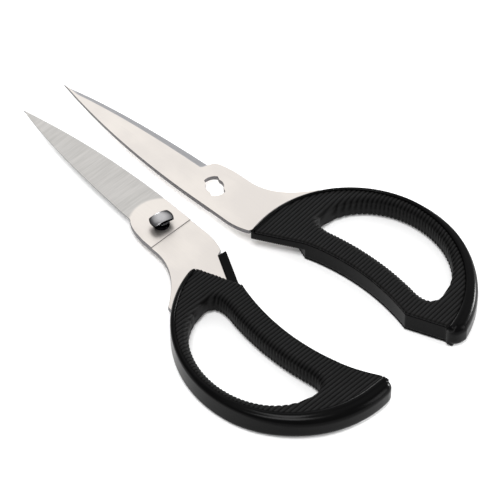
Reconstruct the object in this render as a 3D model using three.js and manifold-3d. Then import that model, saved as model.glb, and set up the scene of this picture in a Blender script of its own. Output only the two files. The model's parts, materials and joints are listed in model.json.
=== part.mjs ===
// Take-apart poultry shears, unlatched and laid flat as two halves side by side.
// Millimetres, +Z up. The origin is on the ground under the middle of the pair;
// +X runs towards the ends of the finger loops.
//
// Both halves are built in one "half frame": the pivot is at the origin, +X runs
// back to the handle, +Y points to the finger-loop side and z = 0 is the plane in
// which the two blades slide. +Z is the outer side of the half. Half B lies with
// its outer side up, half A is turned over so that its inner side is up.
import * as THREE from 'three';
import { mergeVertices } from 'three/addons/utils/BufferGeometryUtils.js';
import Module from 'manifold-3d';

const wasm = await Module();
wasm.setup();

// ---- driving dimensions --------------------------------------------------------
const HANDLE_THICKNESS = 12;      // over both faces of the finger loops
const PLATE = 2.5;                // steel thickness at the pivot
const SLIDE_GAP = 0.1;            // inner face of each blade to the sliding plane
const SEAT_STEP = 0.4;            // tang sunk below the pivot seat
const SEAT_REAR = 6;              // rear edge of the pivot seat
const FIT_GAP = 0.25;             // clearance round a piece that sits in another

const BLADE_LENGTH = 84.5;        // pivot to tip
const TIP_PLATE = 1.2;            // steel thickness at the tip
const BEVEL_WIDTH = 4.5;          // ground bevel along the cutting edge
const EDGE_LAND = 0.15;           // steel left at the very edge

const RIM = { x: 75.9, rx: 48.9, ry: 47.2 };      // outer outline of the loop
const RIDGE = { x: 73.8, rx: 44.9, ry: 44.5 };    // line between hard rim and grip
const LOOP = { x: 74.5, y: 14, rx: 31, ry: 27.3 };  // finger opening, upper half
const LOOP_BAR = { x: 73, crown: 13.8, radius: 115 };  // finger opening, bar side
const BAR = { x: 73.5, crown: 4.3, radius: 93 };  // inner edge of the bar
const RIM_ROUND = 1.4;            // rounding of the rim's edges

const GRIP_LEVEL = 5.5;           // face of the soft grip above the sliding plane
const GRIP_SKIN = 1.35;           // thickness of the soft grip

const NECK_DIAMETER = 6.8;        // stud neck that the other blade turns on
const HEAD_DIAMETER = 10;         // stud head over its rounded ends
const HEAD_WIDTH = 5.4;           // stud head across its two flats
const HEAD_THICKNESS = 2;
const SHANK_DIAMETER = 6;         // riveted shank through blade A
const RIVET_DIAMETER = 9;
const RIVET_HEIGHT = 0.8;
const HEAD_ANGLE = 101.7;         // long axis of the head in the half frame, degrees
const KEY_BORE = 7.6;             // round part of the keyed hole
const KEY_LENGTH = 10.5;          // keyed slot that the head passes
const KEY_WIDTH = 5.9;
const KEY_ANGLE = 152.7;          // long axis of the slot in the half frame, degrees

const PIVOT_A = [-20.637, -13.872];  // where the two pivots lie on the ground plan
const PIVOT_B = [-17.837, 13.828];
const HALF_TURN = 2.33;           // each handle is turned outwards by this, degrees

// ---- helpers -------------------------------------------------------------------
const half = HANDLE_THICKNESS / 2;
const plateTop = SLIDE_GAP + PLATE;
const radians = (degrees) => THREE.MathUtils.degToRad(degrees);

function solid(geometry) {
  geometry.deleteAttribute('normal');
  geometry.deleteAttribute('uv');
  const merged = mergeVertices(geometry, 1e-4);
  return new wasm.Manifold(new wasm.Mesh({
    numProp: 3,
    vertProperties: new Float32Array(merged.attributes.position.array),
    triVerts: new Uint32Array(merged.index.array),
  }));
}

function mesh(name, body, material) {
  const data = body.getMesh();
  const geometry = new THREE.BufferGeometry();
  geometry.setAttribute('position', new THREE.BufferAttribute(data.vertProperties, 3));
  geometry.setIndex(new THREE.BufferAttribute(data.triVerts, 1));
  geometry.computeVertexNormals();
  const result = new THREE.Mesh(geometry, material);
  result.name = name;
  return result;
}

function prism(shape, low, high, curveSegments = 12) {
  const geometry = new THREE.ExtrudeGeometry(shape, {
    depth: high - low, bevelEnabled: false, curveSegments,
  });
  geometry.translate(0, 0, low);
  return solid(geometry);
}

function roundedPrism(shape, low, high, radius, curveSegments = 12) {
  const geometry = new THREE.ExtrudeGeometry(shape, {
    depth: high - low - 2 * radius,
    bevelThickness: radius,
    bevelSize: radius,
    bevelOffset: -radius,
    bevelSegments: 3,
    curveSegments,
  });
  geometry.translate(0, 0, low + radius);
  return solid(geometry);
}

function disc(diameter, low, high, segments = 48) {
  const geometry = new THREE.CylinderGeometry(diameter / 2, diameter / 2, high - low, segments);
  geometry.rotateX(Math.PI / 2);
  geometry.translate(0, 0, (low + high) / 2);
  return solid(geometry);
}

// Shape of a rounded-end slot of a given length and width: a disc between two flats.
function flattedDisc(diameter, width, low, high, degrees) {
  const flats = new THREE.BoxGeometry(diameter + 2, width, high - low);
  flats.rotateZ(radians(degrees));
  flats.translate(0, 0, (low + high) / 2);
  return disc(diameter, low, high).intersect(solid(flats));
}

// The same body grown sideways by FIT_GAP, as the union of copies moved round a circle.
function grown(body) {
  let result = body;
  const steps = 8;
  for (let i = 0; i < steps; i += 1) {
    const angle = (i / steps) * 2 * Math.PI;
    const move = [FIT_GAP * Math.cos(angle), FIT_GAP * Math.sin(angle), 0];
    result = result.add(body.translate(move));
  }
  return result;
}

const arcAngle = (arc, x) => Math.acos((x - arc.x) / arc.radius);
const arcCentre = (arc) => arc.crown - arc.radius;
const arcY = (arc, x) => arcCentre(arc) + Math.sqrt(arc.radius ** 2 - (x - arc.x) ** 2);

// ---- outlines ------------------------------------------------------------------
const edgeCurve = new THREE.QuadraticBezierCurve3(
  new THREE.Vector3(-BLADE_LENGTH, 0, 0),
  new THREE.Vector3(-58, 6.3, 0),
  new THREE.Vector3(-11, 7.6, 0),
);

// Blade, pivot plate and the tang that runs on through the handle.
function plateShape() {
  const tangInner = { ...BAR, crown: BAR.crown + 2.8, radius: BAR.radius + 2.8 };
  const tangOuter = { ...BAR, crown: BAR.crown + 6.2, radius: BAR.radius + 6.2 };
  const tangStart = 50;
  const tangEnd = 96;
  const shape = new THREE.Shape();
  shape.moveTo(-BLADE_LENGTH, 0);
  shape.bezierCurveTo(-62, -5.6, -38, -9.3, -8, -10.1);
  shape.lineTo(16, -10.4);
  shape.quadraticCurveTo(21.5, -10.3, 26, -8.3);
  shape.lineTo(27.2, -5.6);
  shape.lineTo(44, 3);
  shape.lineTo(tangStart, arcY(tangInner, tangStart));
  shape.absarc(BAR.x, arcCentre(tangInner), tangInner.radius,
    arcAngle(tangInner, tangStart), arcAngle(tangInner, tangEnd), true);
  shape.absarc(BAR.x, arcCentre(tangOuter), tangOuter.radius,
    arcAngle(tangOuter, tangEnd), arcAngle(tangOuter, tangStart), false);
  shape.lineTo(44, 8);
  shape.quadraticCurveTo(36.4, 9.5, 36.6, 17);
  shape.lineTo(38.6, 27.6);
  shape.lineTo(32.7, 26.6);
  shape.bezierCurveTo(26.6, 17.8, 19, 11.7, 10, 11.3);
  shape.lineTo(1, 11.2);
  shape.bezierCurveTo(-9.2, 10.4, -9.4, 7.8, -11, 7.6);
  shape.quadraticCurveTo(-58, 6.3, -BLADE_LENGTH, 0);
  return shape;
}

// Point of the rim's outer outline at a given height, on its front or rear side.
function rimPoint(y, side) {
  const x = RIM.x + side * RIM.rx * Math.sqrt(1 - (y / RIM.ry) ** 2);
  return new THREE.Vector2(x, y);
}

// Ends of the handle outline behind the bar, up to a point on the rim. Half A's runs on
// across the middle line, half B's is cut back at a slant to let it in.
function rearEndA(shape, end) {
  shape.quadraticCurveTo(108.5, -1.8, 118.3, -7.9);
  shape.bezierCurveTo(120.3, -9.2, 124.3, -9.3, end.x, end.y);
}

function rearEndB(shape, end) {
  shape.lineTo(118, 6.2);
  shape.bezierCurveTo(120.8, 7.1, 123, 8, end.x, end.y);
}

// Outline of the hard handle: nose, bar, rear end and the round of the loop.
function handleShape(rearEnd, rearY) {
  const nose = rimPoint(-9.4, -1);
  const rear = rimPoint(rearY, 1);
  const barStart = 50;
  const barEnd = 101;
  const shape = new THREE.Shape();
  shape.moveTo(nose.x, nose.y);
  shape.lineTo(45.2, -0.7);
  shape.quadraticCurveTo(47.3, 0.5, barStart, arcY(BAR, barStart));
  shape.absarc(BAR.x, arcCentre(BAR), BAR.radius,
    arcAngle(BAR, barStart), arcAngle(BAR, barEnd), true);
  rearEnd(shape, rear);
  shape.absellipse(RIM.x, 0, RIM.rx, RIM.ry,
    Math.asin(rear.y / RIM.ry), Math.PI - Math.asin(nose.y / RIM.ry), false);
  return shape;
}

// Finger opening, grown outwards by an amount.
function loopShape(grow) {
  const corner = 11;
  const left = LOOP.x - LOOP.rx - grow;
  const right = LOOP.x + LOOP.rx + grow;
  const low = { ...LOOP_BAR, crown: LOOP_BAR.crown - grow, radius: LOOP_BAR.radius - grow };
  const from = left + corner;
  const to = right - corner;
  const shape = new THREE.Shape();
  shape.moveTo(from, arcY(low, from));
  shape.absarc(low.x, arcCentre(low), low.radius, arcAngle(low, from), arcAngle(low, to), true);
  shape.quadraticCurveTo(right, arcY(low, right), right, LOOP.y + 2);
  shape.absellipse(LOOP.x, LOOP.y + 2, LOOP.rx + grow, LOOP.ry - 2 + grow, 0, Math.PI, false);
  shape.quadraticCurveTo(left, arcY(low, left), from, arcY(low, from));
  return shape;
}

// Everything inside the ridge of the rim, open towards the bar.
function ridgeShape(grow) {
  const reach = -20;
  const shape = new THREE.Shape();
  shape.moveTo(RIDGE.x - RIDGE.rx - grow, reach);
  shape.lineTo(RIDGE.x + RIDGE.rx + grow, reach);
  shape.lineTo(RIDGE.x + RIDGE.rx + grow, 0);
  shape.absellipse(RIDGE.x, 0, RIDGE.rx + grow, RIDGE.ry + grow, 0, Math.PI, false);
  return shape;
}

// Region in front of the handle's inner layer, where the other half's nose turns in.
function reliefShape(grow) {
  const shape = new THREE.Shape();
  shape.moveTo(20, -20);
  shape.lineTo(52, -20);
  shape.lineTo(48.4 + grow, 0.6 + grow);
  shape.lineTo(43.6 + grow, 2.5 + grow);
  shape.lineTo(31.4 + grow, 7.4 + grow);
  shape.quadraticCurveTo(29.2 + grow, 8.3 + grow, 28.7 + grow, 11 + grow);
  shape.lineTo(20, 12);
  return shape;
}

// ---- solids of one half --------------------------------------------------------
// Steel plate: tapered towards the tip, bevelled along the edge, stepped at the seat.
function plateBody() {
  const far = 60;
  const taperStart = 8;
  const taper = new THREE.Shape();
  taper.moveTo(taperStart, plateTop);
  taper.lineTo(-BLADE_LENGTH - 1, SLIDE_GAP + TIP_PLATE);
  taper.lineTo(-BLADE_LENGTH - 1, far);
  taper.lineTo(taperStart, far);
  const taperCut = new THREE.ExtrudeGeometry(taper, { depth: far, bevelEnabled: false });
  taperCut.rotateX(Math.PI / 2);
  taperCut.translate(0, far / 2, 0);

  // Section of the bevel cut, swept along the edge: x points down, y points inwards.
  const rise = 1.2;
  const bevel = new THREE.Shape();
  bevel.moveTo(-EDGE_LAND - SLIDE_GAP, 0);
  bevel.lineTo(-plateTop * rise, -BEVEL_WIDTH * rise);
  bevel.lineTo(-plateTop * rise, 1);
  bevel.lineTo(-EDGE_LAND - SLIDE_GAP, 1);
  const bevelCut = new THREE.ExtrudeGeometry(bevel, {
    steps: 24, bevelEnabled: false, extrudePath: edgeCurve,
  });

  const step = new THREE.BoxGeometry(100, 80, 2 * (SLIDE_GAP + SEAT_STEP));
  step.translate(SEAT_REAR + 50, 0, 0);

  return prism(plateShape(), SLIDE_GAP, plateTop)
    .subtract(solid(taperCut))
    .subtract(solid(bevelCut))
    .subtract(solid(step));
}

// Hard handle: shell round the tang, rim and rear end, cut back under the soft grip.
function coreBody(outline) {
  const under = GRIP_LEVEL - GRIP_SKIN - FIT_GAP;
  const inside = ridgeShape(FIT_GAP);
  const tangSlot = prism(plateShape(), SLIDE_GAP - FIT_GAP, plateTop + FIT_GAP, 6);
  return roundedPrism(outline, -half, half, RIM_ROUND)
    .subtract(prism(inside, under, half + 1))
    .subtract(prism(inside, -half - 1, -under))
    .subtract(prism(loopShape(GRIP_SKIN + FIT_GAP), -half - 1, half + 1))
    .subtract(prism(reliefShape(0), -half - 1, 0))
    .subtract(grown(tangSlot));
}

// Soft grip: one skin over both faces, joined round the wall of the finger opening.
function gripBody(outline) {
  const edge = 0.8;
  const bed = GRIP_LEVEL - GRIP_SKIN;
  const filling = new THREE.Shape();
  filling.moveTo(0, -60);
  filling.lineTo(160, -60);
  filling.lineTo(160, 80);
  filling.lineTo(0, 80);
  filling.holes.push(loopShape(GRIP_SKIN));
  return roundedPrism(outline, -GRIP_LEVEL, GRIP_LEVEL, edge)
    .intersect(prism(ridgeShape(0), -half, half))
    .subtract(prism(filling, -bed, bed))
    .subtract(prism(loopShape(0), -half - 1, half + 1))
    .subtract(prism(reliefShape(FIT_GAP), -half - 1, 0));
}

// Stud: rivet head outside, shank, neck, and a flatted head that locks the other half.
function studBody() {
  const neckEnd = -SLIDE_GAP - PLATE - FIT_GAP;
  const shank = disc(SHANK_DIAMETER, -SLIDE_GAP, plateTop + SLIDE_GAP + 0.1);
  const neck = disc(NECK_DIAMETER, neckEnd - 0.2, 0);
  const rivet = disc(RIVET_DIAMETER, plateTop + SLIDE_GAP, plateTop + SLIDE_GAP + RIVET_HEIGHT);
  const headLow = neckEnd - HEAD_THICKNESS;
  const head = flattedDisc(HEAD_DIAMETER, HEAD_WIDTH, headLow, neckEnd, HEAD_ANGLE);
  return shank.add(neck).add(rivet).add(head);
}

// ---- materials -----------------------------------------------------------------
const steel = new THREE.MeshStandardMaterial({ color: 0xcfcac4, roughness: 0.32, metalness: 1 });
const brightSteel = new THREE.MeshStandardMaterial({ color: 0xb8babd, roughness: 0.18, metalness: 1 });
const hardPlastic = new THREE.MeshStandardMaterial({ color: 0x0c0c0d, roughness: 0.28, metalness: 0 });
const softGrip = new THREE.MeshStandardMaterial({ color: 0x111112, roughness: 0.75, metalness: 0 });

// ---- assembly ------------------------------------------------------------------
const outlineA = handleShape(rearEndA, -4);
const outlineB = handleShape(rearEndB, 11);
const bladeA = plateBody().subtract(disc(SHANK_DIAMETER + 2 * FIT_GAP, -1, plateTop + 1));
const bladeB = plateBody()
  .subtract(disc(KEY_BORE, -1, plateTop + 1))
  .subtract(flattedDisc(KEY_LENGTH, KEY_WIDTH, -1, plateTop + 1, KEY_ANGLE));

const halfA = new THREE.Group();
halfA.add(mesh('blade_a', bladeA, steel));
halfA.add(mesh('pivot_stud', studBody(), brightSteel));
halfA.add(mesh('handle_a', coreBody(outlineA), hardPlastic));
halfA.add(mesh('grip_a', gripBody(outlineA), softGrip));
halfA.position.set(...PIVOT_A, half);
halfA.rotation.set(Math.PI, 0, radians(-HALF_TURN), 'ZYX');

const halfB = new THREE.Group();
halfB.add(mesh('blade_b', bladeB, steel));
halfB.add(mesh('handle_b', coreBody(outlineB), hardPlastic));
halfB.add(mesh('grip_b', gripBody(outlineB), softGrip));
halfB.position.set(...PIVOT_B, half);
halfB.rotation.set(0, 0, radians(HALF_TURN));

const shears = new THREE.Group();
shears.add(halfA, halfB);

export default shears;
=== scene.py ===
"""Looks of the take-apart poultry shears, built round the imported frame.

Each half is shaped in its own half frame, in millimetres: the pivot is at the origin, +X runs
back to the handle, +Y points to the finger-loop side, z = 0 is the plane in which the blades
slide and +Z is the outer side. Half B lies with its outer side up, half A is turned over.
"""
import itertools
import json
import math

import bpy
import numpy as np
from mathutils import Matrix, Vector


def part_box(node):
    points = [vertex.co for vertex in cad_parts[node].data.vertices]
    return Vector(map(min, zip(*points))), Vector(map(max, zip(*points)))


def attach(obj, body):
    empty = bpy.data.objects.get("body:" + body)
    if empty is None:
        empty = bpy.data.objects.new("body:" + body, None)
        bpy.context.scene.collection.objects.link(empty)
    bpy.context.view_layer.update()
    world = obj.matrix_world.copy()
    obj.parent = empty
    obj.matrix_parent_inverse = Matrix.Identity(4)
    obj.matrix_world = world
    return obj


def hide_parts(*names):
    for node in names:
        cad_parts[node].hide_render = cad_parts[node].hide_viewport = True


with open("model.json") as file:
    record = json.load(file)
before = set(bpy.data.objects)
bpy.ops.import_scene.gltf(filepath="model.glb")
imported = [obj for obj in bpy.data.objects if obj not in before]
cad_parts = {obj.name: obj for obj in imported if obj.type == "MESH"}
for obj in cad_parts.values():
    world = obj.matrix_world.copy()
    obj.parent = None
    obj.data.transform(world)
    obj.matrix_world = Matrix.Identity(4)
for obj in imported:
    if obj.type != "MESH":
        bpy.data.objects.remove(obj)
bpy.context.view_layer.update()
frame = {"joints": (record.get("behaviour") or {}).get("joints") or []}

# ---- driving dimensions, millimetres in the half frame ---------------------------
MM = 0.001
HALF_TURN = math.radians(2.33)
HALF = 6.0                 # half of the handle's thickness

BLADE_LENGTH = 84.5
PLATE = 2.5
SLIDE_GAP = 0.1
SEAT_STEP = 0.4
SEAT_REAR = 6.0
TIP_PLATE = 1.2
BEVEL_WIDTH = 4.5
EDGE_LAND = 0.15
TAPER_START = 8.0          # the plate thins from here to the tip
CHAMFER = 0.14             # broken edges of the steel plate
BEVEL_FADE = (-7.8, -11.5)  # x between which the bevel grows to its full width
BEVEL_FROM = -8.4          # the ground finish begins here

RIM = (75.9, 0.0, 48.9, 47.2)      # ellipse: centre x, centre y, radius x, radius y
RIDGE = (73.8, 0.0, 44.9, 44.5)
LOOP = (74.5, 16.0, 31.0, 25.3)
LOOP_BAR = (73.0, 13.8, 115.0)     # arc: middle x, crown y, radius
BAR = (73.5, 4.3, 93.0)

BAR_START, BAR_END = 50.0, 101.0
NOSE_Y = -9.4              # where the handle's outline meets the rim at the front
REAR_Y = {"a": -4.0, "b": 11.0}    # and at the rear

RIM_FACE = 5.6             # face of the hard rim above the sliding plane
RIM_ROUND_FRONT = 1.5      # rounding of the rim's edges at the front
RIM_ROUND_REAR = 3.4       # and at the rear
REAR_BLEND = (88.0, 116.0)  # x between which the rim and the raised line grow rounder
BAR_ROUND = 0.35           # rounding of the hard handle where the grip lies on it
BEAD_RADIUS = 0.9          # raised line between the rim and the grip
BEAD_WIDENING = 0.3        # growth of its radius to the rear
BEAD_END_ROUND = 1.8       # rounding where it runs out at the outline
BEAD_BLEND = 0.5           # width of the fillet at its foot
GRIP_LEVEL = 5.5           # face of the soft grip above the sliding plane
GRIP_SKIN = 1.35           # thickness of the soft grip
GRIP_GAP = 0.05            # seam between the grip and the hard handle
GRIP_ROUND = 2.6           # rounding of the grip into the finger opening
GRIP_EDGE_ROUND = 0.4      # and along its outer border

RIB_START = 28.0           # where the grip's first rib lies
RIB_PITCH = 1.49           # there
RIB_WIDENING = 0.0018      # growth of the pitch per millimetre to the rear
RIB_DEPTH = 0.34

NECK_DIAMETER = 6.8
HEAD_DIAMETER = 10.0
HEAD_WIDTH = 5.4
HEAD_THICKNESS = 2.0
HEAD_GAP = 0.25            # from the other blade's outer face to the head
HEAD_ROUND = 0.22
DOME_RADIUS = 9.5          # top of the head
SHANK_DIAMETER = 6.0
RIVET_DIAMETER = 9.0
RIVET_HEIGHT = 0.8
RIVET_DOME = 12.5
HEAD_ANGLE = math.radians(101.7)
KEY_BORE = 7.6
KEY_LENGTH = 10.5
KEY_WIDTH = 5.9
KEY_ANGLE = math.radians(152.7)


# ---- the two half frames ---------------------------------------------------------
def half_frames():
    low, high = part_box("pivot_stud")
    pivot_a = (low + high) / 2
    pivot_b = Vector(frame["joints"][0]["pos_m"])
    turned_over = Matrix.Rotation(math.pi, 4, "X")
    scale = Matrix.Scale(MM, 4)
    place_a = Matrix.Translation((pivot_a.x, pivot_a.y, HALF * MM))
    place_b = Matrix.Translation((pivot_b.x, pivot_b.y, HALF * MM))
    return {
        "a": place_a @ Matrix.Rotation(-HALF_TURN, 4, "Z") @ turned_over @ scale,
        "b": place_b @ Matrix.Rotation(HALF_TURN, 4, "Z") @ scale,
    }


HALVES = half_frames()


# ---- outlines --------------------------------------------------------------------
def bezier(*points, count=40):
    t = np.linspace(0, 1, count)[:, None]
    rows = [np.array(p, float) * np.ones_like(t) for p in points]
    while len(rows) > 1:
        rows = [a * (1 - t) + b * t for a, b in zip(rows, rows[1:])]
    return rows[0]


def ellipse_arc(ellipse, start, end, count=160, grow=0.0):
    x, y, rx, ry = ellipse
    angle = np.linspace(start, end, count)
    return np.stack([x + (rx + grow) * np.cos(angle), y + (ry + grow) * np.sin(angle)], 1)


def crown_y(arc, x):
    middle, crown, radius = arc
    return crown - radius + np.sqrt(radius**2 - (np.asarray(x, float) - middle) ** 2)


def crown_arc(arc, start, end, count=80):
    x = np.linspace(start, end, count)
    return np.stack([x, crown_y(arc, x)], 1)


def joined(*parts):
    """The parts of an outline as one, without the points that neighbours share."""
    points = np.concatenate([np.atleast_2d(np.array(p, float)) for p in parts])
    apart = np.hypot(*(points - np.roll(points, 1, 0)).T) > 1e-6
    return points[apart]


def rim_point(y, side):
    x, _, rx, ry = RIM
    return (x + side * rx * math.sqrt(1 - (y / ry) ** 2), y)


def rear_end_a(bar_end, rear):
    """Behind half A's bar the handle runs on across the middle line."""
    return joined(
        bezier(bar_end, (108.5, -1.8), (118.3, -7.9)),
        bezier((118.3, -7.9), (120.3, -9.2), (124.3, -9.3), rear),
    )


def rear_end_b(bar_end, rear):
    """Behind half B's bar the handle is cut back at a slant, down to a small end block."""
    return joined(
        bar_end, (117.2, 5.9),
        bezier((117.5, 5.5), (119.2, 4.7), (122.9, 5.2), rear),
    )


def handle_outline(rear_end, rear_y):
    """Hard handle: nose, bar, rear end and the round of the loop."""
    nose = rim_point(NOSE_Y, -1)
    rear = rim_point(rear_y, 1)
    bar_start = (BAR_START, float(crown_y(BAR, BAR_START)))
    bar_end = (BAR_END, float(crown_y(BAR, BAR_END)))
    _, _, _, ry = RIM
    return joined(
        nose,
        (45.2, -0.7),
        bezier((45.2, -0.7), (47.3, 0.5), bar_start, count=12),
        crown_arc(BAR, BAR_START, BAR_END),
        rear_end(bar_end, rear),
        ellipse_arc(RIM, math.asin(rear_y / ry), math.pi - math.asin(NOSE_Y / ry), 240),
    )


def loop_outline():
    """Finger opening: half an ellipse on a shallow arc along the bar, with round corners."""
    corner = 11.0
    x, y, rx, _ = LOOP
    left, right = x - rx, x + rx
    start, end = left + corner, right - corner
    low_left = (left, float(crown_y(LOOP_BAR, left)))
    low_right = (right, float(crown_y(LOOP_BAR, right)))
    return joined(
        crown_arc(LOOP_BAR, start, end),
        bezier((end, float(crown_y(LOOP_BAR, end))), low_right, (right, y)),
        ellipse_arc(LOOP, 0, math.pi),
        bezier((left, y), low_left, (start, float(crown_y(LOOP_BAR, start)))),
    )


def ridge_outline():
    """Everything inside the raised line, open towards the bar."""
    reach = -20.0
    x, _, rx, _ = RIDGE
    return joined((x - rx, reach), (x + rx, reach), ellipse_arc(RIDGE, 0, math.pi))


def spine_line():
    """Thicker side of the plate, from the tip to the part hidden in the handle."""
    return joined(
        bezier((-BLADE_LENGTH, 0.0), (-62.0, -5.6), (-38.0, -9.3), (-8.0, -10.1), count=200),
        bezier((16.0, -10.4), (21.5, -10.3), (26.0, -8.3)),
        (27.2, -5.6), (44.0, 3.0),
    )


def edge_line():
    """Cutting side of the plate, from the tip over the ricasso to the flare of the tang."""
    return joined(
        bezier((-BLADE_LENGTH, 0.0), (-58.0, 6.3), (-11.0, 7.6), count=200),
        bezier((-11.0, 7.6), (-9.4, 7.8), (-9.2, 10.4), (1.0, 11.2)),
        bezier((10.0, 11.3), (19.0, 11.7), (26.6, 17.8), (32.7, 26.6)),
        (38.6, 27.6),
    )


def relief_outline():
    """Front of the handle's inner layer, cut away for the other half's nose."""
    return joined(
        (20.0, -20.0), (52.0, -20.0), (48.4, 0.6), (43.6, 2.5), (31.4, 7.4),
        bezier((31.4, 7.4), (29.2, 8.3), (28.7, 11.0), count=12), (20.0, 12.0),
    )


# ---- distance fields -------------------------------------------------------------
def signed_distance(outline, x, y):
    """Distance from a closed outline, negative inside it."""
    nearest = np.full(x.shape, 1e9)
    inside = np.zeros(x.shape, bool)
    for (ax, ay), (bx, by) in zip(outline, np.roll(outline, -1, 0)):
        ex, ey = bx - ax, by - ay
        share = np.clip(((x - ax) * ex + (y - ay) * ey) / (ex * ex + ey * ey), 0, 1)
        nearest = np.minimum(nearest, (x - ax - share * ex) ** 2 + (y - ay - share * ey) ** 2)
        if ay != by:
            inside ^= ((ay > y) != (by > y)) & (x < ax + ex * (y - ay) / ey)
    return np.where(inside, -1, 1) * np.sqrt(nearest)


class Field:
    """Signed distance from an outline, kept on a grid and read between its points."""

    low = np.array([14.0, -16.0])
    high = np.array([130.0, 54.0])
    step = 0.3

    def __init__(self, outline):
        count = np.ceil((self.high - self.low) / self.step).astype(int) + 1
        x = self.low[0] + self.step * np.arange(count[0])
        y = self.low[1] + self.step * np.arange(count[1])
        self.values = signed_distance(outline, *np.meshgrid(x, y, indexing="ij"))

    def __call__(self, x, y):
        u = np.clip((x - self.low[0]) / self.step, 0, self.values.shape[0] - 1.001)
        v = np.clip((y - self.low[1]) / self.step, 0, self.values.shape[1] - 1.001)
        i, j = u.astype(int), v.astype(int)
        u, v = u - i, v - j
        near = self.values[i, j] * (1 - u) + self.values[i + 1, j] * u
        far = self.values[i, j + 1] * (1 - u) + self.values[i + 1, j + 1] * u
        return near * (1 - v) + far * v


def slab(distance, height, half, radius):
    """Solid of an outline between two faces, with the edge between wall and face rounded."""
    across = distance + radius
    up = np.abs(height) - half + radius
    corner = np.hypot(np.maximum(across, 0), np.maximum(up, 0))
    return corner + np.minimum(np.maximum(across, up), 0) - radius


def soft_union(first, second, width):
    """Union of two solids with a fillet of some width where they meet."""
    overlap = np.maximum(width - np.abs(first - second), 0) / width
    return np.minimum(first, second) - overlap**2 * width / 4


def between(low, high, value):
    """Distance from the space between two levels, negative inside it."""
    return np.maximum(low - value, value - high)


def smooth_step(low, high, value):
    t = np.clip((value - low) / (high - low), 0, 1)
    return t * t * (3 - 2 * t)


# ---- meshes of implicit solids ---------------------------------------------------
def window(offset, shape):
    return tuple(slice(o, o + n) for o, n in zip(offset, shape))


def cell_points(values):
    """For every grid cell that the surface crosses, the mean of its edge crossings."""
    cells = tuple(n - 1 for n in values.shape)
    total = np.zeros(cells + (3,), np.float32)
    count = np.zeros(cells, np.float32)
    for axis in range(3):
        for corner in itertools.product((0, 1), repeat=2):
            start = list(corner)
            start.insert(axis, 0)
            end = list(start)
            end[axis] = 1
            near = values[window(start, cells)]
            far = values[window(end, cells)]
            crossed = (near < 0) != (far < 0)
            share = near / np.where(crossed, near - far, 1)
            for k in range(3):
                total[..., k] += crossed * (start[k] + (share if k == axis else 0))
            count += crossed
    return total, count


def cell_quads(inside, index):
    """One quad round every grid edge that the surface crosses, facing outwards."""
    size = inside.shape
    quads = []
    for axis in range(3):
        b, c = (axis + 1) % 3, (axis + 2) % 3
        rows = [slice(1, n - 1) for n in size]
        rows[axis] = slice(0, size[axis] - 1)
        near = inside[tuple(rows)]
        rows[axis] = slice(1, size[axis])
        far = inside[tuple(rows)]
        nodes = np.argwhere(near != far)
        outwards = near[tuple(nodes.T)]
        nodes[:, b] += 1
        nodes[:, c] += 1
        corners = []
        for step_b, step_c in ((-1, -1), (0, -1), (0, 0), (-1, 0)):
            cell = nodes.copy()
            cell[:, b] += step_b
            cell[:, c] += step_c
            corners.append(index[tuple(cell.T)])
        corners = np.stack(corners, 1)
        corners[~outwards] = corners[~outwards][:, ::-1]
        quads.append(corners)
    return np.concatenate(quads)


def settled(solid, points, step):
    """The points moved onto the surface, along the slope of the solid's function."""
    nudge = 0.02
    rounds = 4
    least_steep = 0.05
    limit = 0.6 * min(step)
    for _ in range(rounds):
        value = solid(*points.T)
        slopes = []
        for direction in np.eye(3) * nudge:
            rise = solid(*(points + direction).T) - solid(*(points - direction).T)
            slopes.append(rise / (2 * nudge))
        slope = np.stack(slopes, 1)
        steep = np.maximum((slope**2).sum(1), least_steep)
        points = points - np.clip((value / steep)[:, None] * slope, -limit, limit)
    return points


def largest_part(points, quads):
    """The points and quads of the biggest connected piece."""
    label = np.arange(len(points))
    settling = True
    while settling:
        lower = label.copy()
        np.minimum.at(lower, quads, label[quads].min(1)[:, None])
        lower = lower[lower]
        settling = bool((lower != label).any())
        label = lower
    quads = quads[label[quads[:, 0]] == np.bincount(label[quads[:, 0]]).argmax()]
    kept, renamed = np.unique(quads, return_inverse=True)
    return points[kept], renamed.reshape(quads.shape)


def implicit_mesh(solid, low, high, step):
    """Points and quads of the surface where the solid's function is zero."""
    axes = [np.arange(l, h + s, s) for l, h, s in zip(low, high, step)]
    values = solid(*np.meshgrid(*axes, indexing="ij"))
    total, count = cell_points(values)
    crossed = count > 0
    index = np.full(crossed.shape, -1)
    index[crossed] = np.arange(crossed.sum())
    cells = np.argwhere(crossed) + total[crossed] / count[crossed][:, None]
    points = np.array(low) + cells * np.array(step)
    points, quads = largest_part(points, cell_quads(values < 0, index))
    return settled(solid, points, step), quads


def placed_object(name, side, points, faces):
    """A Blender object from half-frame points, lying where its half lies."""
    place = np.array(HALVES[side])
    world = points @ place[:3, :3].T + place[:3, 3]
    mesh = bpy.data.meshes.new(name)
    mesh.from_pydata(world.tolist(), [], [list(map(int, f)) for f in faces])
    mesh.validate()
    placed = bpy.data.objects.new(name, mesh)
    bpy.context.scene.collection.objects.link(placed)
    return placed


def make_piece(name, side, points, faces, materials):
    """A visible piece, smooth-shaded, riding on its half."""
    piece = placed_object(name, side, points, faces)
    mesh = piece.data
    mesh.polygons.foreach_set("use_smooth", [True] * len(mesh.polygons))
    for material in materials:
        mesh.materials.append(material)
    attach(piece, "half_" + side)
    return piece


# ---- plastic handles and grips ---------------------------------------------------
OUTLINES = {
    "a": Field(handle_outline(rear_end_a, REAR_Y["a"])),
    "b": Field(handle_outline(rear_end_b, REAR_Y["b"])),
}
LOOP_FIELD = Field(loop_outline())
RIDGE_FIELD = Field(ridge_outline())
RELIEF_FIELD = Field(relief_outline())
PLATE_FIELD = Field(joined(spine_line(), edge_line()[::-1]))


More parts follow.
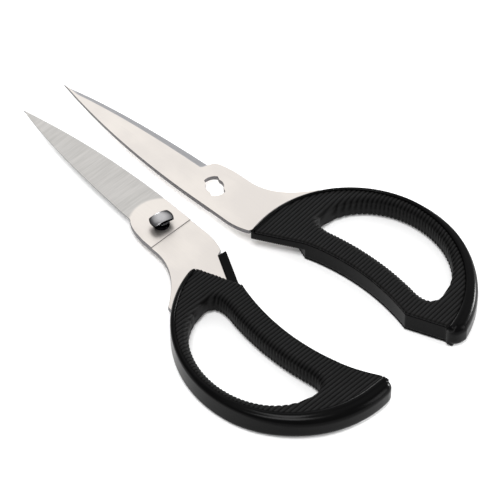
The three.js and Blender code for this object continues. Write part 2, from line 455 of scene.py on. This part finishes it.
def handle_solid(side):
    """Hard handle: rim and raised line, cut away for the grip, the opening and the tang."""
    outline = OUTLINES[side]
    under = GRIP_LEVEL - GRIP_SKIN - GRIP_GAP

    def solid(x, y, z):
        edge = outline(x, y)
        ridge = RIDGE_FIELD(x, y)
        rear_share = smooth_step(*REAR_BLEND, x)
        radius = RIM_ROUND_FRONT + (RIM_ROUND_REAR - RIM_ROUND_FRONT) * rear_share
        on_bar = smooth_step(1.6, -0.4, ridge)
        radius = radius + (BAR_ROUND - radius) * on_bar
        body = slab(edge, z, RIM_FACE, radius)
        bead_radius = BEAD_RADIUS + BEAD_WIDENING * rear_share
        bead = np.hypot(ridge - bead_radius, np.abs(z) - HALF + bead_radius) - bead_radius
        bead = np.maximum(bead, slab(edge + 0.1, z, HALF, BEAD_END_ROUND))
        body = soft_union(body, bead, BEAD_BLEND)
        recess = np.maximum(ridge, under - np.abs(z))
        opening = LOOP_FIELD(x, y) - GRIP_SKIN
        in_front = RELIEF_FIELD(x, y)
        relief = np.maximum(in_front, z)
        tang = np.maximum.reduce([in_front, PLATE_FIELD(x, y) - 0.05, z - SLIDE_GAP - PLATE])
        return np.maximum.reduce([body, -recess, -opening, -relief, -tang])

    return solid


def rib_groove(x, z):
    """Depth of the grooves between straight ribs that lie across the handle."""
    pitch = RIB_PITCH + RIB_WIDENING * (x - RIB_START)
    turns = np.log(pitch / RIB_PITCH) / RIB_WIDENING
    valley = 0.5 + 0.5 * np.cos(2 * math.pi * turns)
    return RIB_DEPTH * valley**1.3 * smooth_step(0.4, 2.6, np.abs(z))


def grip_solid(side):
    """Soft grip: a ribbed skin over both faces and the wall of the finger opening."""
    outline = OUTLINES[side]
    bed = GRIP_LEVEL - GRIP_SKIN

    def solid(x, y, z):
        opening = LOOP_FIELD(x, y)
        edge = outline(x, y)
        ridge = RIDGE_FIELD(x, y)
        border = -soft_union(-edge, -ridge - GRIP_GAP, 1.2)
        face = slab(-opening, z, GRIP_LEVEL, GRIP_ROUND)
        wall = slab(border, z, GRIP_LEVEL, GRIP_EDGE_ROUND)
        off_border = smooth_step(0.0, -0.9, edge) * smooth_step(0.0, -0.5, ridge)
        skin = np.maximum(face, wall) + rib_groove(x, z) * off_border
        core = np.maximum(np.abs(z) - bed, GRIP_SKIN - opening)
        relief = np.maximum(RELIEF_FIELD(x, y) - GRIP_GAP, z)
        return np.maximum.reduce([skin, -core, -relief])

    return solid


def make_handles(materials):
    low, high = (20.0, -12.0, -6.6), (127.0, 49.0, 6.6)
    hard_step = ((0.4, 0.4, 0.4))
    soft_step = ((0.2, 0.5, 0.42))
    for side in "ab":
        points, quads = implicit_mesh(handle_solid(side), low, high, hard_step)
        hard = make_piece("shell_" + side, side, points, quads, [materials["hard"]])
        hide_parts("handle_" + side)
        points, quads = implicit_mesh(grip_solid(side), low, high, soft_step)
        rubber = [materials["soft_" + side]]
        soft = make_piece("ribs_" + side, side, points, quads, rubber)
        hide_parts("grip_" + side)


# ---- steel blades ----------------------------------------------------------------
def blade_edges(stations):
    """Spine and cutting side of the plate at each x."""
    return np.interp(stations, *spine_line().T), np.interp(stations, *edge_line().T)


def blade_section(x, spine, edge):
    """Closed section of the plate at x: spine, outer face, ground bevel, inner face."""
    width = max(edge - spine, 0.02)
    inner = SLIDE_GAP + (SEAT_STEP if x > SEAT_REAR else 0.0)
    along = min(max((TAPER_START - x) / (TAPER_START + BLADE_LENGTH), 0.0), 1.0)
    thin = along * (PLATE - TIP_PLATE)
    outer = SLIDE_GAP + PLATE - thin
    ground = float(smooth_step(*BEVEL_FADE, x))
    broken = min(CHAMFER, width / 8)
    full_bevel = BEVEL_WIDTH * (outer - SLIDE_GAP - EDGE_LAND) / (PLATE - EDGE_LAND)
    bevel = min(broken + (full_bevel - broken) * ground, 0.6 * width)
    land = (outer - broken) + (SLIDE_GAP + EDGE_LAND - outer + broken) * ground
    heel = min(broken, (land - inner) / 2)
    return [
        (spine + broken, inner), (spine, inner + broken),
        (spine, outer - broken), (spine + broken, outer),
        (edge - bevel, outer), (edge, land),
        (edge, inner + heel), (edge - heel, inner),
    ]


def blade_stations():
    """Where the plate's sections lie, closer together where its outline bends."""
    tip = -BLADE_LENGTH + np.array([0.05, 0.15, 0.35, 0.7, 1.2])
    long_run = np.arange(-83.0, -12.0, 0.8)
    ricasso = np.arange(-12.0, -3.0, 0.2)
    middle = np.array([-3.0, 1.0, SEAT_REAR - 0.01, SEAT_REAR + 0.01])
    tang = np.arange(8.0, 38.6, 0.6)
    return np.concatenate([tip, long_run, ricasso[1:], middle[1:], tang])


FACE, BEVEL, CUT = 0, 1, 2       # material slots of a blade
SPINE_SIDES = (0, 1, 2)          # sides of a blade's section, counted along its corners
EDGE_SIDES = (4, 5, 6)
BEVEL_SIDE = 4
INNER_SIDE = 7


def face_kind(side, x, next_x):
    """Material slot of the face between two stations, on one side of the section."""
    if side == BEVEL_SIDE and x < BEVEL_FROM:
        return BEVEL
    # The seat's step face takes the dark cut finish as painted shade.
    shaded_shoulder = side == INNER_SIDE and x < SEAT_REAR < next_x
    return CUT if side in SPINE_SIDES + EDGE_SIDES or shaded_shoulder else FACE


def ring_quads(rings, count):
    """Quads between so many closed rings of count points each."""
    quads = []
    for ring in range(rings - 1):
        for k in range(count):
            a, b = ring * count + k, ring * count + (k + 1) % count
            quads.append((a, b, b + count, a + count))
    return quads


def ring_caps(rings, count):
    return [tuple(reversed(range(count))), tuple(range((rings - 1) * count, rings * count))]


def blade_mesh():
    stations = blade_stations()
    spine, edge = blade_edges(stations)
    sections = [blade_section(x, s, e) for x, s, e in zip(stations, spine, edge)]
    rings, count = len(sections), len(sections[0])
    points = [(x, y, z) for x, section in zip(stations, sections) for y, z in section]
    faces = ring_quads(rings, count) + ring_caps(rings, count)
    kinds = [
        face_kind(side, x, next_x)
        for x, next_x in zip(stations, stations[1:])
        for side in range(count)
    ]
    return np.array(points), faces, kinds + [CUT, CUT]


def key_radius(angle):
    """Edge of the keyed hole in a direction: a round bore joined with a flatted slot."""
    sine = np.maximum(np.abs(np.sin(angle - KEY_ANGLE)), 1e-6)
    return np.maximum(KEY_BORE / 2, np.minimum(KEY_LENGTH / 2, KEY_WIDTH / 2 / sine))


def key_cutter(side):
    """Body of the keyed hole, flared a little at both faces to break its edges."""
    angles = np.linspace(0, 2 * math.pi, 144, endpoint=False)
    past = 0.5
    top = SLIDE_GAP + PLATE
    levels = [
        (SLIDE_GAP - past, past), (SLIDE_GAP + CHAMFER, 0),
        (top - CHAMFER, 0), (top + past, past + CHAMFER),
    ]
    rings = []
    for height, flare in levels:
        reach = key_radius(angles) + flare
        x, y = reach * np.cos(angles), reach * np.sin(angles)
        rings.append(np.stack([x, y, np.full_like(x, height)], 1))
    count = len(angles)
    faces = ring_caps(len(rings), count) + ring_quads(len(rings), count)
    return placed_object("key_cutter", side, np.concatenate(rings), faces)


def cut_key(blade, side):
    cutter = key_cutter(side)
    cut = blade.modifiers.new("key", "BOOLEAN")
    cut.operation = "DIFFERENCE"
    cut.solver = "EXACT"
    cut.object = cutter
    bpy.context.view_layer.update()
    evaluated = blade.evaluated_get(bpy.context.evaluated_depsgraph_get())
    result = bpy.data.meshes.new_from_object(evaluated)
    blade.modifiers.clear()
    blade.data = result
    bpy.data.objects.remove(cutter)


def mark_key_walls(blade, side):
    """Gives the walls of the keyed hole the finish of the plate's other cut sides."""
    pivot = HALVES[side].translation
    reach = (KEY_LENGTH / 2 + 0.7) * MM
    nearly_level = 0.9
    for polygon in blade.data.polygons:
        near = (polygon.center.xy - pivot.xy).length < reach
        if near and abs(polygon.normal.z) < nearly_level:
            polygon.material_index = CUT


def make_blades(materials):
    points, faces, kinds = blade_mesh()
    for side in "ab":
        steel = [materials["face_" + side], materials["bevel"], materials["cut"]]
        blade = make_piece("steel_" + side, side, points, faces, steel)
        blade.data.polygons.foreach_set("material_index", kinds)
        if side == "b":
            cut_key(blade, side)
            mark_key_walls(blade, side)
        blade.data.set_sharp_from_angle(angle=math.radians(18))
        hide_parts("blade_" + side)


# ---- pivot stud ------------------------------------------------------------------
def stud_solid(x, y, z):
    """Domed and flatted head, waisted neck, shank and domed rivet head, round one axis."""
    radius = np.hypot(x, y)
    across = np.abs(-x * math.sin(HEAD_ANGLE) + y * math.cos(HEAD_ANGLE))
    seat = -SLIDE_GAP - PLATE - HEAD_GAP
    crown = seat - HEAD_THICKNESS
    middle = (seat + crown) / 2
    head_edge = np.maximum(radius - HEAD_DIAMETER / 2, across - HEAD_WIDTH / 2)
    head = slab(head_edge, z - middle, HEAD_THICKNESS / 2, HEAD_ROUND)
    dome = np.sqrt(radius**2 + (z - crown - DOME_RADIUS) ** 2) - DOME_RADIUS
    head = np.maximum(head, dome)
    waist = 0.25 * smooth_step(1.5, 0.3, np.abs(z + 1.5))
    neck = np.maximum(radius - NECK_DIAMETER / 2, between(-3.2, 0.0, z)) + waist
    shank = np.maximum(radius - SHANK_DIAMETER / 2, between(-0.2, 2.8, z))
    rivet_seat = SLIDE_GAP + PLATE
    rivet_dome = np.sqrt(radius**2 + (z - rivet_seat + RIVET_DOME) ** 2)
    rivet = rivet_dome - RIVET_DOME - RIVET_HEIGHT
    rivet = np.maximum(np.maximum(rivet, radius - RIVET_DIAMETER / 2), rivet_seat - z)
    return np.minimum.reduce([head, neck, shank, rivet])


def make_stud(materials):
    step = (0.12, 0.12, 0.12)
    points, quads = implicit_mesh(stud_solid, (-5.4, -5.4, -5.2), (5.4, 5.4, 3.9), step)
    stud = make_piece("stud", "a", points, quads, [materials["stud"]])
    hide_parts("pivot_stud")


# ---- materials -------------------------------------------------------------------
class Shader:
    """A material with a Principled shader and a few short ways to add nodes."""

    def __init__(self, name, **values):
        self.material = bpy.data.materials.new(name)
        self.material.use_nodes = True
        self.tree = self.material.node_tree
        self.shader = self.tree.nodes["Principled BSDF"]
        for socket, value in values.items():
            self.shader.inputs[socket.replace("_", " ")].default_value = value
        self.coordinates = self.tree.nodes.new("ShaderNodeTexCoord").outputs["Object"]

    def link(self, value, socket):
        if hasattr(value, "is_output"):
            self.tree.links.new(value, socket)
        else:
            socket.default_value = value

    def math(self, operation, *values):
        node = self.tree.nodes.new("ShaderNodeMath")
        node.operation = operation
        for value, socket in zip(values, node.inputs):
            self.link(value, socket)
        return node.outputs[0]

    def ramp(self, value, low, high):
        node = self.tree.nodes.new("ShaderNodeMapRange")
        node.interpolation_type = "SMOOTHSTEP"
        node.inputs["From Min"].default_value = low
        node.inputs["From Max"].default_value = high
        self.link(value, node.inputs["Value"])
        return node.outputs["Result"]

    def noise(self, scale, detail=3.0, roughness=0.5, turn=0.0):
        """Noise of so many grains per metre along each axis."""
        mapping = self.tree.nodes.new("ShaderNodeMapping")
        mapping.vector_type = "TEXTURE"
        mapping.inputs["Rotation"].default_value = (0, 0, turn)
        mapping.inputs["Scale"].default_value = [1 / s for s in scale]
        self.link(self.coordinates, mapping.inputs["Vector"])
        node = self.tree.nodes.new("ShaderNodeTexNoise")
        node.inputs["Scale"].default_value = 1.0
        node.inputs["Detail"].default_value = detail
        node.inputs["Roughness"].default_value = roughness
        self.link(mapping.outputs["Vector"], node.inputs["Vector"])
        return node.outputs["Fac"]

    def mix(self, share, first, second):
        node = self.tree.nodes.new("ShaderNodeMix")
        node.data_type = "RGBA"
        self.link(share, node.inputs["Factor"])
        self.link(first, node.inputs["A"])
        self.link(second, node.inputs["B"])
        return node.outputs["Result"]

    def from_pivot(self, side, kept=(1, 1, 1)):
        """Distance from the half's pivot in metres, along the axes that are kept."""
        position = self.tree.nodes.new("ShaderNodeVectorMath")
        position.operation = "MULTIPLY"
        position.inputs[1].default_value = kept
        self.link(self.coordinates, position.inputs[0])
        distance = self.tree.nodes.new("ShaderNodeVectorMath")
        distance.operation = "DISTANCE"
        distance.inputs[1].default_value = HALVES[side].translation * Vector(kept)
        self.link(position.outputs[0], distance.inputs[0])
        return distance.outputs["Value"]

    def along(self, axis):
        node = self.tree.nodes.new("ShaderNodeSeparateXYZ")
        self.link(self.coordinates, node.inputs[0])
        return node.outputs[axis]

    def groove_shade_mask(self, side):
        """1 at the bottom of the grip's grooves, 0 on top of its ribs: the mask for painted
        shade in the grooves and painted highlight on the ribs.
        """
        axis = HALVES[side].to_3x3().col[0].normalized()
        start = axis.dot(HALVES[side].translation)
        x = self.math("MULTIPLY_ADD", self.along("X"), axis.x / MM, -start / MM)
        x = self.math("MULTIPLY_ADD", self.along("Y"), axis.y / MM, x)
        rate = RIB_WIDENING / RIB_PITCH
        ratio = self.math("MULTIPLY_ADD", x, rate, 1 - RIB_START * rate)
        turns = self.math("DIVIDE", self.math("LOGARITHM", ratio, math.e), RIB_WIDENING)
        wave = self.math("COSINE", self.math("MULTIPLY", turns, 2 * math.pi))
        return self.math("MULTIPLY_ADD", wave, 0.5, 0.5)

    def bump(self, height, distance, strength=1.0):
        node = self.tree.nodes.new("ShaderNodeBump")
        node.inputs["Strength"].default_value = strength
        node.inputs["Distance"].default_value = distance
        self.link(height, node.inputs["Height"])
        self.link(node.outputs["Normal"], self.shader.inputs["Normal"])

    def set(self, socket, value):
        self.link(value, self.shader.inputs[socket])


def cross_ground(m, turn, colour, grain):
    """Colour and grain, ground across on half A's blade up to a ring round the pivot."""
    cross = m.noise((2600, 90, 90), detail=4, roughness=0.6, turn=turn)
    broad = m.noise((420, 40, 40), detail=2, turn=turn)
    pivot_x = HALVES["a"].translation.x
    blade = m.ramp(m.along("X"), pivot_x - 0.004, pivot_x - 0.011)
    ground = m.math("MULTIPLY", m.ramp(m.from_pivot("a"), 0.0128, 0.0142), blade)
    streaks = m.math("ADD", m.math("MULTIPLY", cross, 0.75), m.math("MULTIPLY", broad, 0.3))
    grey = m.mix(m.ramp(streaks, 0.3, 0.8), (0.43, 0.42, 0.405, 1), (0.54, 0.525, 0.51, 1))
    return m.mix(ground, colour, grey), m.mix(ground, grain, cross)


def face_steel(side):
    """Satin steel with a fine long grain, and half A's blade ground across."""
    turn = -HALF_TURN if side == "a" else HALF_TURN
    m = Shader("steel_face_" + side, Metallic=1.0)
    grain = m.noise((60, 1700, 60), detail=4, roughness=0.6, turn=turn)
    cloud = m.noise((45, 60, 60), detail=3)
    colour = m.mix(m.ramp(cloud, 0.35, 0.65), (0.74, 0.695, 0.65, 1), (0.67, 0.63, 0.595, 1))
    colour = m.mix(m.math("MULTIPLY", grain, 0.4), colour, (0.60, 0.565, 0.54, 1))
    if side == "a":
        colour, grain = cross_ground(m, turn, colour, grain)
    m.set("Base Color", colour)
    m.set("Roughness", m.math("ADD", 0.26, m.math("MULTIPLY", grain, 0.16)))
    m.bump(grain, 0.00002, 0.35)
    return m.material


def bevel_steel():
    m = Shader("steel_bevel", Metallic=1.0, Specular_Tint=(0.6, 0.6, 0.62, 1))
    cross = m.noise((3200, 120, 120), detail=3)
    m.set("Base Color", m.mix(cross, (0.36, 0.36, 0.37, 1), (0.48, 0.48, 0.49, 1)))
    m.set("Roughness", m.math("ADD", 0.24, m.math("MULTIPLY", cross, 0.18)))
    m.bump(cross, 0.00002, 0.4)
    return m.material


def cut_steel():
    """Blanked sides of the plate, darker and coarser than its faces; the seat's step face also
    wears it, as painted shade.
    """
    m = Shader("steel_cut", Metallic=1.0)
    tear = m.noise((1500, 1500, 300), detail=4)
    m.set("Base Color", m.mix(tear, (0.10, 0.10, 0.11, 1), (0.24, 0.23, 0.23, 1)))
    m.set("Roughness", m.math("ADD", 0.36, m.math("MULTIPLY", tear, 0.2)))
    m.bump(tear, 0.00003, 0.4)
    return m.material


def stud_steel():
    """Stud painted dark below and round its head as painted shade, with a painted highlight on
    the upward-facing top of its head, brightest in the middle.
    """
    m = Shader("steel_stud", Metallic=1.0, Specular_Tint=(0.12, 0.12, 0.12, 1))
    turned = m.noise((900, 900, 5000), detail=2)
    normal = m.tree.nodes.new("ShaderNodeSeparateXYZ")
    m.link(m.coordinates.node.outputs["Normal"], normal.inputs[0])
    above_neck = m.ramp(m.along("Z"), 0.0084, 0.0089)
    # Painted highlight on the head's upward-facing top only; the sides and neck take the dark
    # colour as painted shade.
    head = m.math("MULTIPLY", above_neck, m.ramp(normal.outputs["Z"], 0.8, 0.94))
    # Painted highlight, brightest in the middle of the head.
    painted_highlight = m.ramp(m.from_pivot("a", kept=(1, 1, 0)), 0.0048, 0.0008)
    highlight_tone = m.mix(painted_highlight, (0.15, 0.15, 0.155, 1), (0.46, 0.455, 0.46, 1))
    m.set("Base Color", m.mix(head, (0.006, 0.006, 0.007, 1), highlight_tone))
    m.set("Roughness", m.math("ADD", 0.16, m.math("MULTIPLY", turned, 0.1)))
    m.bump(turned, 0.00001, 0.3)
    return m.material


def hard_plastic():
    m = Shader("hard_black", Specular_IOR_Level=0.055)
    mould = m.noise((900, 900, 900), detail=3)
    cloud = m.noise((70, 70, 70), detail=3)
    m.set("Base Color", m.mix(cloud, (0.0008, 0.0008, 0.0009, 1), (0.0018, 0.0018, 0.0019, 1)))
    m.set("Roughness", m.math("ADD", 0.17, m.math("MULTIPLY", cloud, 0.12)))
    m.bump(mould, 0.00003, 0.25)
    return m.material


def soft_plastic(side):
    """Black rubber with a painted highlight on top of its ribs and painted shade in its
    grooves.
    """
    m = Shader("soft_black_" + side, Specular_IOR_Level=0.05)
    grain = m.noise((4200, 4200, 4200), detail=4)
    cloud = m.noise((120, 120, 120), detail=3)
    crest_highlight_tone = m.mix(cloud, (0.0075, 0.0075, 0.0075, 1), (0.012, 0.012, 0.012, 1))
    # Grooves painted nearly black as painted shade, rib tops paler as painted highlight.
    m.set("Base Color", m.mix(m.groove_shade_mask(side), crest_highlight_tone, (0.0006, 0.0006, 0.0006, 1)))
    m.set("Roughness", m.math("ADD", 0.42, m.math("MULTIPLY", grain, 0.2)))
    m.bump(grain, 0.00004, 0.4)
    return m.material


def make_materials():
    return {
        "face_a": face_steel("a"),
        "face_b": face_steel("b"),
        "bevel": bevel_steel(),
        "cut": cut_steel(),
        "stud": stud_steel(),
        "hard": hard_plastic(),
        "soft_a": soft_plastic("a"),
        "soft_b": soft_plastic("b"),
    }


# ---- studio ----------------------------------------------------------------------
# Name, position, target and size in metres, and power in watts.
LIGHTS = [
    ("back_box", (-0.74, 0.76, 1.31), (0, 0, 0), (2.6, 2.2), 11.5),
    ("top_box", (0.35, -0.5, 1.7), (0, 0, 0), (0.7, 0.7), 22),
    ("side_box", (1.3, 0.6, 0.55), (0, 0, 0), (0.5, 0.9), 8),
    ("edge_box", (0.5, 1.3, 0.25), (0.07, 0.04, 0), (0.35, 0.22), 24),
    ("left_box", (-1.27, 0.68, 0.4), (0.02, -0.03, 0), (0.4, 0.4), 6),
]
WORLD_STRENGTH = 0.5


def make_floor():
    mesh = bpy.data.meshes.new("floor")
    reach = 3.0
    corners = [(-reach, -reach, 0), (reach, -reach, 0), (reach, reach, 0), (-reach, reach, 0)]
    mesh.from_pydata(corners, [], [(0, 1, 2, 3)])
    floor = bpy.data.objects.new("floor", mesh)
    bpy.context.scene.collection.objects.link(floor)
    m = Shader("floor_white", Roughness=0.6, Emission_Color=(1, 1, 1, 1), Emission_Strength=0.1)
    speck = m.noise((300, 300, 300))
    m.set("Base Color", m.mix(speck, (0.94, 0.94, 0.94, 1), (0.96, 0.96, 0.96, 1)))
    mesh.materials.append(m.material)


def make_light(name, position, target, size, power):
    data = bpy.data.lights.new(name, "AREA")
    data.shape = "RECTANGLE"
    data.size, data.size_y = size
    data.energy = power
    lamp = bpy.data.objects.new(name, data)
    bpy.context.scene.collection.objects.link(lamp)
    lamp.location = position
    lamp.rotation_mode = "QUATERNION"
    lamp.rotation_quaternion = (Vector(target) - Vector(position)).to_track_quat("-Z", "Y")


def make_studio():
    world = bpy.data.worlds.new("studio")
    bpy.context.scene.world = world
    world.use_nodes = True
    background = world.node_tree.nodes["Background"]
    background.inputs["Color"].default_value = (1, 1, 1, 1)
    background.inputs["Strength"].default_value = WORLD_STRENGTH
    for light in LIGHTS:
        make_light(*light)
    bpy.context.scene.view_settings.view_transform = "Standard"


def make_camera():
    azimuth, elevation = math.radians(44.13), math.radians(51.0)
    distance = 1.4
    target = Vector((0.01095, 0.00476, 0.0))
    back = Vector((
        math.sin(azimuth) * math.cos(elevation),
        -math.cos(azimuth) * math.cos(elevation),
        math.sin(elevation),
    ))
    data = bpy.data.cameras.new("camera")
    data.sensor_width = 36.0
    data.lens = 250.4
    camera = bpy.data.objects.new("camera", data)
    bpy.context.scene.collection.objects.link(camera)
    camera.location = target + back * distance
    camera.rotation_mode = "QUATERNION"
    camera.rotation_quaternion = (-back).to_track_quat("-Z", "Y")
    bpy.context.scene.camera = camera


make_camera()
MATERIALS = make_materials()
make_blades(MATERIALS)
make_stud(MATERIALS)
make_handles(MATERIALS)
make_floor()
make_studio()
